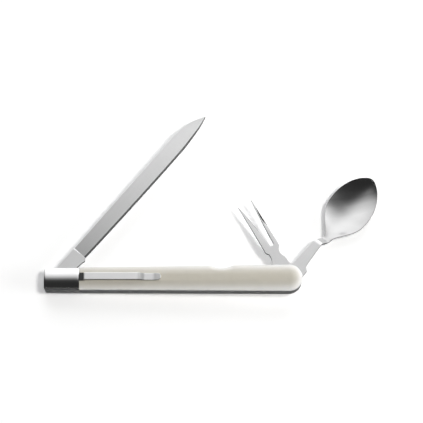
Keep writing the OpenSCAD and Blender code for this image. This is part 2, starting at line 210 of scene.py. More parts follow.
class Material:
    """A principled material in object coordinates, with short calls for the nodes that it needs."""

    def __init__(self, name, colour, metallic, roughness, **sockets):
        self.made = bpy.data.materials.new(name)
        self.made.use_nodes = True
        self.nodes = self.made.node_tree.nodes
        self.shader = self.nodes["Principled BSDF"]
        self.set("Base Color", (*colour, 1))
        self.set("Metallic", metallic)
        self.set("Roughness", roughness)
        for socket, value in sockets.items():
            self.set(socket.replace("_", " "), value)

    def set(self, socket, value):
        self.shader.inputs[socket].default_value = value

    def link(self, output, socket):
        end = self.shader.inputs[socket] if isinstance(socket, str) else socket
        self.made.node_tree.links.new(output, end)

    def place(self, scale, turn=0.0, origin=(0, 0, 0)):
        """Object coordinates from the origin, along axes turned about Z, then scaled."""
        node = self.nodes.new("ShaderNodeMapping")
        node.vector_type = "TEXTURE"
        node.inputs["Location"].default_value = origin
        node.inputs["Rotation"].default_value = (0, 0, math.radians(turn))
        node.inputs["Scale"].default_value = [1 / s for s in scale]
        self.link(self.nodes.new("ShaderNodeTexCoord").outputs["Object"], node.inputs["Vector"])
        return node.outputs["Vector"]

    def noise(self, vector, detail=3.0, rough=0.55):
        node = self.nodes.new("ShaderNodeTexNoise")
        node.inputs["Scale"].default_value = 1
        node.inputs["Detail"].default_value = detail
        node.inputs["Roughness"].default_value = rough
        self.link(vector, node.inputs["Vector"])
        return node.outputs["Fac"]

    def ramp(self, value, stops):
        """A colour ramp; a stop's colour may be one number for a grey."""
        node = self.nodes.new("ShaderNodeValToRGB")
        marks = node.color_ramp.elements
        for _ in stops[2:]:
            marks.new(0.5)
        for mark, (at, colour) in zip(marks, stops):
            mark.position = at
            mark.color = (*colour, 1) if isinstance(colour, tuple) else (colour, colour, colour, 1)
        self.link(value, node.inputs["Fac"])
        return node.outputs["Color"]

    def span(self, value, low, high, to_low=0.0, to_high=1.0):
        node = self.nodes.new("ShaderNodeMapRange")
        limits = {"From Min": low, "From Max": high, "To Min": to_low, "To Max": to_high}
        for socket, number in limits.items():
            node.inputs[socket].default_value = number
        self.link(value, node.inputs["Value"])
        return node.outputs["Result"]

    def part(self, vector, axis, unsigned=False):
        """One coordinate of a vector, or how far it is from zero."""
        if unsigned:
            size = self.nodes.new("ShaderNodeVectorMath")
            size.operation = "ABSOLUTE"
            self.link(vector, size.inputs[0])
            vector = size.outputs[0]
        node = self.nodes.new("ShaderNodeSeparateXYZ")
        self.link(vector, node.inputs[0])
        return node.outputs[axis]

    def times(self, a, b):
        node = self.nodes.new("ShaderNodeMix")
        node.data_type = "RGBA"
        node.blend_type = "MULTIPLY"
        node.inputs["Factor"].default_value = 1
        self.link(a, node.inputs[6])
        self.link(b, node.inputs[7])
        return node.outputs[2]

    def bump(self, height, strength, distance):
        node = self.nodes.new("ShaderNodeBump")
        node.inputs["Strength"].default_value = strength
        node.inputs["Distance"].default_value = distance
        self.link(height, node.inputs["Height"])
        self.link(node.outputs["Normal"], "Normal")


def steel(name, tone, roughness, turn=0.0, satin=0.0, depth=0.04, coarse=60, fine=5600, reach=None):
    """Ground steel with fine scratches along turn and faint clouds.

    satin is how much of it scatters light, as a blasted face does. reach paints reflection and shade into
    the colour as tones along the length.
    """
    metal = Material(name, (tone,) * 3, 1 - satin, roughness)
    half_spread = 0.03
    scratches = metal.noise(metal.place((coarse, fine, fine), turn), 4.0, 0.7)
    clouds = metal.noise(metal.place((90, 90, 90)), 2.0)
    lines = metal.ramp(scratches, [(0.3, (0.95, 0.95, 0.955)), (0.7, (1.0, 1.0, 1.0))])
    clouds_and_painted_light = metal.ramp(clouds, [(0.3, 0.96 * tone), (0.7, tone)])
    # Painted reflection and shade: tones along the length darken or lighten the steel's colour
    if reach:
        centre, from_u, to_u, stops = reach
        where = metal.part(metal.place((1, 1, 1), turn, centre * MM), "X")
        clouds_and_painted_light = metal.times(clouds_and_painted_light, metal.ramp(metal.span(where, from_u * MM, to_u * MM), stops))
    metal.link(metal.times(lines, clouds_and_painted_light), "Base Color")
    worn_gloss = metal.span(scratches, 0.25, 0.75, roughness - half_spread, roughness + half_spread)
    metal.link(worn_gloss, "Roughness")
    metal.bump(scratches, depth, 0.00002)
    return metal.made


def scale_plastic():
    """Off-white moulded plastic with painted shading, paler towards its edges and darker on its crown, with
    mottling, a soft gloss and fine wear.
    """
    plastic = Material(
        "scale_plastic", (0.55, 0.53, 0.47), 0.0, 0.3, Subsurface_Weight=0.1, Subsurface_Scale=0.001,
        Subsurface_Radius=(1.0, 0.9, 0.75), Coat_Weight=0.3, Coat_Roughness=0.12)
    streaks = plastic.noise(plastic.place((60, 420, 420)), 4.0, 0.6)
    mottle = plastic.noise(plastic.place((240, 240, 240)), 3.0, 0.6)
    warm = plastic.ramp(streaks, [(0.3, 0.95), (0.7, 1.0)])
    spots = plastic.ramp(mottle, [(0.35, 0.97), (0.65, 1.0)])
    # Painted shading: the colour is paler towards the scale's edges and darker on its crown
    depth = plastic.part(plastic.place((1, 1, 1), 0, (0, 0, SCALES_MIDDLE_Z * MM)), "Z", True)
    depth = plastic.span(depth, 4.2 * MM, SCALES_MIDDLE_Z * MM)
    body = plastic.ramp(depth, [
        (0.0, (0.93, 0.925, 0.91)), (0.4, (0.84, 0.825, 0.79)),
        (0.8, (0.62, 0.595, 0.53)), (1.0, (0.565, 0.535, 0.46))])
    plastic.link(plastic.times(body, plastic.times(warm, spots)), "Base Color")
    wear = plastic.noise(plastic.place((900, 5200, 5200), 12), 4.0, 0.7)
    plastic.link(plastic.span(wear, 0.3, 0.7, 0.26, 0.36), "Roughness")
    plastic.bump(plastic.noise(plastic.place((1500, 1500, 1500)), 3.0, 0.6), 0.05, 0.00003)
    return plastic.made


CLIP_LOW, CLIP_HIGH = node_box("pocket_clip")
FORK_TURN = 180 - FORK_OPEN
SPOON_TURN = 180 - SPOON_OPEN
# Painted reflection and shade along a tool, standing in for what it mirrors: a start, a first and last
# distance from it, and stops
# Painted reflection: the blade's face is darker near the plunge and lighter towards the point
BLADE_PAINTED_REFLECTION = (KNIFE_HINGE, 15, 118, [(0.0, 0.52), (0.22, 0.72), (0.6, 0.9), (1.0, 1.0)])
# Painted shade: a dark band where the clip steps down, and a dimmer spot before its turned-up tip
CLIP_PAINTED_SHADE = (Vector((CLIP_LOW.x, 0, 0)), 0, CLIP_HIGH.x - CLIP_LOW.x, [
    (0.0, 1.0), (0.69, 1.0), (0.71, 0.75), (0.73, 0.5), (0.75, 0.4), (0.765, 0.4), (0.778, 0.55),
    (0.785, 0.85), (0.795, 0.95), (0.88, 0.95), (0.92, 0.82), (0.95, 0.95), (1.0, 1.0)])
# Painted reflection: tones across the bowl that darken it in bands
BOWL_PAINTED_REFLECTION = (Vector((93, 39.7, 0)), -10, 11, [
    (0.0, 0.95), (0.11, 0.7), (0.214, 0.82), (0.32, 1.0), (0.58, 1.0), (0.69, 0.9), (0.8, 0.81),
    (1.0, 0.72)])
MATERIALS = {
    "scale": scale_plastic(),
    "bolster": steel("bolster_steel", 0.8, 0.1, 0, depth=0.01, coarse=3000, fine=60),
    "liner": steel("liner_steel", 0.6, 0.3),
    "spring": steel("spring_steel", 0.8, 0.45, 0, 0.2),
    "pin": steel("pin_steel", 0.7, 0.22, 30),
    "clip": steel("clip_steel", 0.97, 0.3, 0, 0.42, depth=0.03, reach=CLIP_PAINTED_SHADE),
    # Painted shade: the clip's root gets near-black steel where it sits in a shaded slot
    "clip_root": steel("clip_root_painted_shade_steel", 0.1, 0.35, 90),
    "blade": steel("blade_steel", 0.98, 0.5, KNIFE_OPEN, 0.4, coarse=9000, fine=300, reach=BLADE_PAINTED_REFLECTION),
    "ricasso": steel("ricasso_steel", 0.9, 0.5, KNIFE_OPEN, 0.2),
    # Painted highlight: a lighter finish for the knife's plunge line and spine and the spoon stem's end
    "painted_highlight": steel("bright_steel", 1.0, 0.5, KNIFE_OPEN, 0.6),
    # Painted dark reflection: the knife's sharpened bevel gets dark steel
    "edge": steel("edge_painted_shade_steel", 0.3, 0.25, KNIFE_OPEN + 90),
    "fork": steel("fork_steel", 0.92, 0.5, FORK_TURN, 0.25),
    # Painted shade: the facet near one tine's tip gets near-black steel
    "facet": steel("fork_facet_painted_shade_steel", 0.04, 0.3, FORK_TURN),
    "spoon": steel("spoon_steel", 0.81, 0.12, -80, depth=0.015, reach=BOWL_PAINTED_REFLECTION),
    # Painted shade: the bowl's rim gets near-black steel on all faces but those facing left
    "rim": steel("spoon_rim_painted_shade_steel", 0.12, 0.25, -80),
    # Painted shade: the spoon's step down gets a greyer steel than its stem
    "painted_shade_riser": steel("riser_steel", 0.6, 0.5, SPOON_TURN, 0.5),
    "side": steel("side_steel", 0.6, 0.24, 0),
    "lip": steel("bolster_lip_steel", 0.8, 0.12, 0, 0.09),
    "stem": steel("stem_steel", 0.92, 0.45, SPOON_TURN, 0.25),
}


def paint(piece, names, finish_of):
    """Gives each face the finish that finish_of picks by its centre and normal."""
    for name in names:
        piece.data.materials.append(MATERIALS[name])
    for face in piece.data.polygons:
        face.material_index = names.index(finish_of(face.center / MM, face.normal))


def dress(piece, body, node):
    """Says what a piece rides on, and hides the node that it stands for."""
    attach(piece, body)
    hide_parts(node)


# ---------- handle ----------

COVER = BACK_HIGH.z - BACK_LOW.z
END_R = (SCALE_HIGH.y - SCALE_LOW.y) / 2
END = Vector((SCALE_HIGH.x - END_R, (SCALE_HIGH.y + SCALE_LOW.y) / 2))
LEFT_X = BOLSTER_LOW.x
SEAM_X = SCALE_LOW.x
BOLSTER_Y = -0.45
BOLSTER_HALF = 5.75
CORNER_R = 1.2
NOTCH_X, NOTCH_HALF, NOTCH_DEPTH = 25.3, 5.5, 1.4
NOTCH_R = (NOTCH_HALF ** 2 + NOTCH_DEPTH ** 2) / (2 * NOTCH_DEPTH)
SCALE_DOME_R, CROWN_CUT = 12.4, 0.1
BOLSTER_DOME_R = 8.6
RIM_R = 0.45
LIP_WIDTH = 0.9
RIM_STEPS = (0, 0.03, 0.09, 0.18, 0.3, 0.45)


def middle_y(x):
    """The handle's centre line."""
    return BOLSTER_Y + (END.y - BOLSTER_Y) * (x - LEFT_X) / (END.x - LEFT_X)


def half_width(x):
    """Half the handle's width on its straight part."""
    return BOLSTER_HALF + (END_R - BOLSTER_HALF) * (x - LEFT_X) / (END.x - LEFT_X)


def notch_dip(x):
    """How far the thumb notch cuts into the upper edge, with eased corners."""
    across = min(NOTCH_R, abs(x - NOTCH_X))
    depth = NOTCH_DEPTH - NOTCH_R + math.sqrt(NOTCH_R ** 2 - across ** 2)
    ease = 0.22
    return (depth + math.sqrt(depth * depth + ease * ease)) / 2


def scale_outline():
    """The scale's edge from its lower left corner round the end to its upper left corner."""
    xs = [SEAM_X + (END.x - SEAM_X) * k / 46 for k in range(47)]
    xs += [NOTCH_X + 0.35 * k for k in range(-21, 22)]
    xs = sorted(set(round(x, 3) for x in xs))
    low = [(x, middle_y(x) - half_width(x)) for x in xs]
    turns = [math.radians(a) for a in range(-84, 85, 6)]
    around = [(END.x + END_R * math.cos(t), END.y + END_R * math.sin(t)) for t in turns]
    high = [(x, middle_y(x) + half_width(x) - notch_dip(x)) for x in reversed(xs)]
    return low + around + high


def scale_height(x, y, inside):
    """How far a scale stands off its liner."""
    away = math.hypot(max(0, x - END.x), y - middle_y(min(x, END.x)))
    dome = COVER + CROWN_CUT - SCALE_DOME_R + math.sqrt(SCALE_DOME_R ** 2 - away ** 2)
    crown = COVER - 0.008 * away ** 2
    notch_y = middle_y(NOTCH_X) + half_width(NOTCH_X) - NOTCH_DEPTH + NOTCH_R
    beyond = math.hypot(x - NOTCH_X, y - notch_y) - NOTCH_R
    near_notch = 1 - smooth(NOTCH_HALF - 1, NOTCH_HALF + 2, abs(x - NOTCH_X))
    scoop = 0.8 * near_notch * (1 - smooth(-0.2, 2.6, beyond))
    return max(0.25, min(dome, crown) - rounding(RIM_R, inside) - scoop)


def domed(name, outline, spine_from, height, liner_z, side):
    """A domed cover that rises from its outline to the centre line, and stands off liner_z to one side."""
    sheet = []
    for x, y in outline:
        spine_x = min(max(x, spine_from), END.x)
        spine_y = middle_y(spine_x)
        reach = math.hypot(spine_x - x, spine_y - y)
        sheet.append([])
        for inside in list(RIM_STEPS) + [RIM_R + (reach - RIM_R) * k / 10 for k in range(1, 11)]:
            at_x = x + (spine_x - x) * inside / reach
            at_y = y + (spine_y - y) * inside / reach
            sheet[-1].append((at_x, at_y, liner_z + side * height(at_x, at_y, inside), liner_z))
    return make_solid(name, [sheet])


def make_scales():
    """The two off-white handle scales."""
    front = domed("front_scale_cover", scale_outline(), SEAM_X, scale_height, SCALE_LOW.z, 1)
    root_low, root_high = node_box("clip_root")
    gap = 0.03
    slot = [(SEAM_X - 1, root_low.y - gap), (root_high.x + gap, root_low.y - gap)]
    slot += [(root_high.x + gap, root_high.y + gap), (SEAM_X - 1, root_high.y + gap)]
    cut(front, prism(slot, root_low.z - gap, root_high.z + 1))
    front.data.materials.append(MATERIALS["scale"])
    dress(front, "handle", "front_scale")
    back = domed("back_scale_cover", scale_outline(), SEAM_X, scale_height, BACK_HIGH.z, -1)
    neck_low, neck_high, neck_y, corner = 31.4, 39.9, -0.1, 1.0
    turns = [math.radians(a) for a in range(0, 91, 15)]
    neck = [(neck_low, BACK_HIGH.y + 5)]
    low_x, high_x, bend_y = neck_low + corner, neck_high - corner, neck_y + corner
    neck += [(low_x - corner * math.cos(t), bend_y - corner * math.sin(t)) for t in turns]
    neck += [(high_x + corner * math.sin(t), bend_y - corner * math.cos(t)) for t in turns]
    neck += [(neck_high, BACK_HIGH.y + 5)]
    cut(back, prism(neck, BACK_LOW.z - 1, BACK_HIGH.z + 1))
    back.data.materials.append(MATERIALS["scale"])
    dress(back, "handle", "back_scale")


def bolster_outline():
    """The bolster's edge from its lower right corner round its left end to its upper right corner."""
    near_seam = [0, 0.05, 0.12, 0.2, 0.3]
    rest = SEAM_X - near_seam[-1] - LEFT_X - CORNER_R
    xs = [SEAM_X - d for d in near_seam] + [SEAM_X - near_seam[-1] - rest * k / 16 for k in range(1, 17)]
    low_y = middle_y(LEFT_X) - BOLSTER_HALF + CORNER_R
    high_y = middle_y(LEFT_X) + BOLSTER_HALF - CORNER_R
    turns = [math.radians(a) for a in range(15, 91, 15)]
    low = [(x, middle_y(x) - half_width(x)) for x in xs]
    low += [(LEFT_X + CORNER_R * (1 - math.sin(t)), low_y - CORNER_R * math.cos(t))
            for t in turns]
    side = [(LEFT_X, low_y + (high_y - low_y) * k / 16) for k in range(1, 16)]
    high = [(LEFT_X + CORNER_R * (1 - math.sin(t)), high_y + CORNER_R * math.cos(t))
            for t in reversed(turns)]
    high += [(x, middle_y(x) + half_width(x)) for x in reversed(xs)]
    return low + side + high


def bolster_height(x, y, inside):
    """How far a bolster stands off its liner: a barrel with a rounded end and a chamfer at the seam."""
    away = abs(y - middle_y(x))
    over_pin, lip, bulge = 0.03, 0.3, 0.9
    height = COVER + over_pin - BOLSTER_DOME_R + math.sqrt(BOLSTER_DOME_R ** 2 - away ** 2)
    height -= 0.6 * rounding(RIM_R, inside)
    height -= 0.5 * max(0, x - SEAM_X + lip)
    height -= rounding(bulge, max(0, x - LEFT_X))
    return max(0.02, height)


def make_bolsters():
    """The two polished bolsters, each with a duller lip along its lower edge."""
    def finish_of(centre, normal):
        low_edge = middle_y(centre.x) - half_width(centre.x)
        return "lip" if centre.y < low_edge + LIP_WIDTH else "bolster"

    for node, liner_z, side in (("front_bolster", BOLSTER_LOW.z, 1), ("back_bolster", BACK_HIGH.z, -1)):
        piece = domed(node + "_cap", bolster_outline(), LEFT_X + 4, bolster_height, liner_z, side)
        paint(piece, ["bolster", "lip"], finish_of)
        dress(piece, "handle", node)


# ---------- pocket clip ----------

CLIP_SHEET, CLIP_FOOT_LIFT, CLIP_TIP_RISE = 0.65, 0.25, 1.0
CLIP_STEP_FROM, CLIP_STEP_TO, CLIP_TIP_RUN = 28.4, 31.6, 4.2


def clip_under():
    """The clip's lower face along its length: foot, raised strip, step down, contact and turned-up tip."""
    end, raised, press = CLIP_HIGH.x - CLIP_LOW.x, CLIP_HIGH.z - CLIP_SHEET, CLIP_LOW.z
    middle = (CLIP_STEP_FROM + CLIP_STEP_TO) / 2
    line = [(0, press + CLIP_FOOT_LIFT), (CLIP_SHEET, press + CLIP_FOOT_LIFT), (CLIP_SHEET + 0.01, raised)]
    line += curve((CLIP_STEP_FROM, raised), (middle, raised), (middle, press), (CLIP_STEP_TO, press), 14)
    return line + curve(
        (end - CLIP_TIP_RUN, press), (end - 0.8 * CLIP_TIP_RUN, press),
        (end - CLIP_TIP_RUN / 2, press + 0.4 * CLIP_TIP_RISE), (end, press + CLIP_TIP_RISE), 10)


def make_clip():
    """The sprung strip that grips a pocket's hem, with eased edges and a round tip."""
    end, width = CLIP_HIGH.x - CLIP_LOW.x, CLIP_HIGH.y - CLIP_LOW.y
    middle_line, round_r, bend_r, edge_r = (CLIP_HIGH.y + CLIP_LOW.y) / 2, width / 2, 0.6, 0.3
    under, raised = clip_under(), CLIP_HIGH.z - CLIP_SHEET
    stations = [0, 0.06, 0.14, 0.26, 0.42, 0.6] + [u for u, _ in under[1:]]
    stations += [1.2, 2.4] + [4 + 3 * k for k in range(8)] + [CLIP_STEP_TO + 0.8 * k for k in range(1, 6)]
    stations += [end - round_r * (1 - math.sin(math.radians(a)))
                 for a in (0, 12, 24, 36, 48, 58, 68, 77, 84)]
    across = [0, 0.03, 0.08, 0.14, 0.21, edge_r, 0.4]
    rows = []
    for u in sorted(set(round(u, 4) for u in stations if u < end - 0.005)):
        half = math.sqrt(round_r ** 2 - max(0, u - end + round_r) ** 2)
        narrow = half / round_r
        offsets = [half - d * narrow for d in across]
        offsets += [k * offsets[-1] for k in (0.6, 0.2, -0.2, -0.6)] + [-p for p in reversed(offsets)]
        rows.append([])
        for p in offsets:
            soft = rounding(edge_r, min((half - abs(p)) / narrow, end - u))
            low = raised if CLIP_SHEET < u < CLIP_STEP_FROM else along(under, u)
            top = CLIP_SHEET + (raised if u < CLIP_STEP_FROM else along(under, u))
            rows[-1].append((CLIP_LOW.x + u, middle_line + p, top - rounding(bend_r, u) - soft, low + soft))
    clip = make_solid("pocket_clip_strip", [rows], 50)
    paint(clip, ["clip", "side"], lambda centre, normal: "side" if normal.y < -0.5 else "clip")
    dress(clip, "clip", "pocket_clip")


# ---------- knife ----------

KNIFE_TANG_R = 4.85
PLUNGE_U, PLUNGE_RUN = 15.3, 0.45
SPINE_LINE = 0.3
KNIFE_TIP_U = 116.4
KNIFE_LOW = [(0, -KNIFE_TANG_R), (4, -KNIFE_TANG_R), (8.6, -3.8), (12.9, -4.35), (13.9, -4.83)]
KNIFE_LOW += [(14.6, -4.4), (PLUNGE_U, -3.6)] + curve((16.2, -3.9), (40, -4.6), (68, -5.1), (92, -5.05), 24)
KNIFE_LOW += curve((95, -5), (104, -4.6), (111, -3.8), (KNIFE_TIP_U, -2.1), 16)
KNIFE_HIGH = [(2.2, 4.2)] + curve((98, 4.2), (108, 4.15), (112, 0.6), (KNIFE_TIP_U - 1, -1.3), 16)
KNIFE_HIGH += [(KNIFE_TIP_U, -2.05)]


def knife_edges(u):
    """The knife's lower and upper edge, in its own axes."""
    bend = math.sqrt(max(0, KNIFE_TANG_R ** 2 - u * u))
    return -bend if u < 0 else along(KNIFE_LOW, u), bend if u < 2.2 else along(KNIFE_HIGH, u)


def bevel_width(u):
    """The sharpened edge's width, which runs out towards the point."""
    return 0.5 + 0.6 * (1 - smooth(100, KNIFE_TIP_U, u))


def knife_half(u, p, low, high, full):
    """Half the knife's thickness: full in the tang, and flat-ground to the edge past the plunge."""
    spine = 0.72 * full * (1 - 0.35 * smooth(60, KNIFE_TIP_U, u))
    shoulder, apex = 0.12, 0.03
    ground = shoulder + (spine - shoulder) * (p - low) / max(0.01, high - low)
    bevel = bevel_width(u)
    if p - low < bevel:
        ground = apex + (ground - apex) * (p - low) / bevel
    ground -= 0.5 * max(0, 0.25 - (high - p))
    return full + (ground - full) * smooth(PLUNGE_U, PLUNGE_U + PLUNGE_RUN, u)


def knife_offsets(u, width):
    """Where the knife's cross-section has points, from its lower edge."""
    bevel = bevel_width(u)
    if width < 2 * bevel + 1:
        return [width * k / 14 for k in range(15)]
    inner = [bevel + 0.15 + (width - bevel - 0.4) * k / 8 for k in range(9)]
    return [0, bevel / 2, bevel] + inner + [width - 0.2, width - 0.1, width]


def make_knife():
    """The blade and its tang, with a plunge line, a flat grind and a sharpened edge."""
    z_low, z_high = (corner.z for corner in node_box("knife_blade"))
    z, full = (z_low + z_high) / 2, (z_high - z_low) / 2
    stations = [-KNIFE_TANG_R * math.cos(math.radians(a)) for a in range(2, 91, 8)]
    stations += [0, 1.2, 2.2, 4, 6.3, 8.6, 10.7, 12.9, 13.4, 13.9, 14.6, 15.0]
    stations += [PLUNGE_U + d for d in (0, 0.1, 0.2, 0.32, PLUNGE_RUN, 0.9, 1.8)]
    stations += [18 + 2.5 * k for k in range(32)] + [98 + 1.2 * k for k in range(15)]
    stations += [115.4, 115.9, 116.3]
    sheet = []
    for u in stations:
        low, high = knife_edges(u)
        sheet.append([])
        for offset in knife_offsets(u, high - low):
            half = knife_half(u, low + offset, low, high, full)
            sheet[-1].append((u, low + offset, z + half, z - half))
    knife = make_solid("knife", [turned(sheet, KNIFE_HINGE, KNIFE_OPEN, False)], 22)
    back = Matrix.Rotation(-math.radians(KNIFE_OPEN), 3, "Z")

    def finish_of(centre, normal):
        u, p, _ = back @ (centre - KNIFE_HINGE)
        low, high = knife_edges(u)
        if abs(normal.z) < 0.5:
            return "side"
        # Painted highlight on the plunge line and on a strip along the spine
        if PLUNGE_U < u < PLUNGE_U + PLUNGE_RUN or u > PLUNGE_U and high - p < SPINE_LINE:
            return "painted_highlight"
        if u < PLUNGE_U:
            return "ricasso"
        # Painted dark reflection on the sharpened bevel
        return "edge" if p - low < bevel_width(u) else "blade"

    paint(knife, ["ricasso", "blade", "edge", "painted_highlight", "side"], finish_of)
    # Known fault: the result is inside out and joined to the cutter, with no pin hole
    cut(knife, prism(circle(KNIFE_HINGE, BORE_R), z - 3, z + 3))
    dress(knife, "knife", "knife_blade")


# ---------- fork ----------

TOOL_TANG_R = 5.45
FORK_TIP_U = 46.1
FACET_FROM, FACET_TO = 29.6, 41.5
CROTCH_U, CROTCH_P, CROTCH_R = 19.7, 0.35, 1.1
FORK_LOW = [(0, -TOOL_TANG_R), (9.2, -TOOL_TANG_R)]
FORK_LOW += curve((10.2, -5.25), (11.8, -3.7), (13.5, -3.6), (15.4, -3.7))
FORK_LOW += curve((16.8, -4.9), (24, -4.5), (36, -4.35), (FORK_TIP_U, -4.2))
FORK_LOW_INNER = curve((20, -0.75), (28, -1.4), (38, -2.7), (45.7, -4)) + [(FORK_TIP_U, -4.17)]
FORK_HIGH_INNER = curve((20, 1.5), (28, 1.95), (38, 2.9), (45.7, 3.75)) + [(FORK_TIP_U, 3.93)]
FORK_HIGH = [(0.5, 3.4), (8.6, 3.3)] + curve((10.4, 3.05), (12.5, 1.6), (14.5, 1.6), (16.4, 2.9))
FORK_HIGH += curve((17.2, 3.75), (24, 3.75), (36, 4.1), (FORK_TIP_U, 3.95))


def fork_edges(u):
    """The fork's outer and inner edges from low to high; the inner ones meet up to the crotch."""
    bend = math.sqrt(max(0, TOOL_TANG_R ** 2 - u * u))
    low = -bend if u < 0 else along(FORK_LOW, u)
    high = min(bend, 4.4) if u < 0.5 else along(FORK_HIGH, u)
    if u < CROTCH_U:
        gap = math.sqrt(max(0, CROTCH_R ** 2 - (CROTCH_U - u) ** 2))
        return low, CROTCH_P - gap, CROTCH_P + gap, high
    return low, along(FORK_LOW_INNER, u), along(FORK_HIGH_INNER, u), high


def facet_share(u):
    """How far the ground facet near one tine's tip has opened, 0 at its ends and 1 in its middle."""
    share = (u - FACET_FROM) / (FACET_TO - FACET_FROM)
    return math.sin(math.pi * share) if 0 < share < 1 else 0


def tine_row(u, outer, inner, z, full, with_facet):
    """One cross-section of half the fork, from its outer to its inner edge."""
    width = abs(inner - outer)
    narrow = min(1, width / 2.5)
    edge_r = 0.22 * narrow
    crotch = CROTCH_U - CROTCH_R
    half = full * (1 - 0.45 * smooth(18, FORK_TIP_U, u))
    facet_w = 0.7 * width * facet_share(u) if with_facet else 0
    steps = [0, 0.05 * narrow, 0.11 * narrow, edge_r, max(1.2 * edge_r, facet_w), 0.75 * width]
    steps += [width - edge_r, width - 0.11 * narrow, width - 0.05 * narrow, width]
    row = []
    for inside in steps:
        drop = rounding(edge_r, inside)
        drop += rounding(edge_r, width - inside) * smooth(crotch, crotch + 0.6, u)
        facet = half * facet_share(u) * max(0, 1 - inside / facet_w) if facet_w > edge_r else 0
        p = outer + (inner - outer) * inside / width
        row.append((u, p, z + half - max(drop, facet), z - half + drop))
    return row


def make_fork():
    """The two-tined fork and its tang."""
    z_low, z_high = (corner.z for corner in node_box("fork"))
    z, full = (z_low + z_high) / 2, (z_high - z_low) / 2
    crotch = CROTCH_U - CROTCH_R
    stations = [-TOOL_TANG_R * math.cos(math.radians(a)) for a in range(3, 85, 9)]
    stations += [0, 0.5, 1.5, 3.4, 6, 8.6, 9.2] + [10.2 + 0.52 * k for k in range(11)]
    stations += [15.8, 16.2, 16.5, 16.8, 17.2, 17.9]
    stations += [crotch + CROTCH_R * (1 - math.cos(math.radians(a))) for a in range(0, 90, 15)]
    stations += [20 + 1.5 * k for k in range(7)] + [FACET_FROM + 0.85 * k for k in range(15)]
    stations += [42.5, 43.7, 44.8, FORK_TIP_U - 0.4, FORK_TIP_U]
    low_sheet, high_sheet = [], []
    for u in stations:
        low, low_inner, high_inner, high = fork_edges(u)
        low_sheet.append(tine_row(u, low, low_inner, z, full, False))
        high_sheet.append(tine_row(u, high, high_inner, z, full, True)[::-1])
    sheets = [turned(sheet, TOOL_HINGE, FORK_OPEN, True) for sheet in (low_sheet, high_sheet)]
    fork = make_solid("two_tine_fork", sheets, 30)
    outward = Vector((math.sin(math.radians(FORK_OPEN)), math.cos(math.radians(FORK_OPEN)), 0))

    def finish_of(centre, normal):
        reach = (centre - TOOL_HINGE).xy.length
        # Painted shade on the facet near one tine's tip
        if 0.2 < normal.z < 0.97 and normal.dot(outward) > 0.15 and FACET_FROM < reach < FACET_TO:
            return "facet"
        return "fork" if abs(normal.z) > 0.9 else "side"

    paint(fork, ["fork", "facet", "side"], finish_of)
    cut(fork, prism(circle(TOOL_HINGE, BORE_R), z - 3, z + 3))
    dress(fork, "fork", "fork")


# ---------- spoon ----------

BOWL_U, BOWL_LENGTH, BOWL_P = 29, 42.3, 3.05
BOWL_HALF, NECK_HALF, BOWL_DEPTH, SHEET = 12.05, 2.2, 5, 0.9
FLARE = 0.38
RIM_Z = -0.35
WIDEST = 0.53
STEM_THICKNESS = 1.7
STEP_FROM, RISER_FROM, RIM_FROM = 23, 25, 28.6
STEM_LOW = [(0, -TOOL_TANG_R), (5.2, -TOOL_TANG_R)] + curve((5.9, -4.4), (6.4, -3.2), (8, -2.9), (11, -2.8))
STEM_LOW += [(23.6, -1.7), (BOWL_U, BOWL_P - NECK_HALF)]
STEM_HIGH = [(0, TOOL_TANG_R), (7.7, TOOL_TANG_R)] + curve((8.9, 4.1), (9.6, 3.4), (11, 3.3), (14, 3.3))
STEM_HIGH += [(24.4, 3), (BOWL_U, BOWL_P + NECK_HALF)]


def bowl_half(s):
    """Half the bowl's width, s of the way from its neck to its tip."""
    if s < WIDEST:
        swell = (1 - math.cos(math.pi * (1 - (1 - s / WIDEST) ** 1.45))) / 2
        return NECK_HALF + (BOWL_HALF - NECK_HALF) * swell
    return BOWL_HALF * max(0, 1 - ((s - WIDEST) / (1 - WIDEST)) ** 1.85) ** 0.62


def bowl_drop(s, across):
    """How far the bowl's inside lies below its rim."""
    fullness = (bowl_half(s) / BOWL_HALF) ** 0.8
    entry = 1 - (1 - min(1, 4 * s)) ** 2
    round_part, flared_part = 1 - abs(across) ** 2.1, (1 + math.cos(math.pi * across)) / 2
    return BOWL_DEPTH * fullness * entry * (round_part + FLARE * (flared_part - round_part))


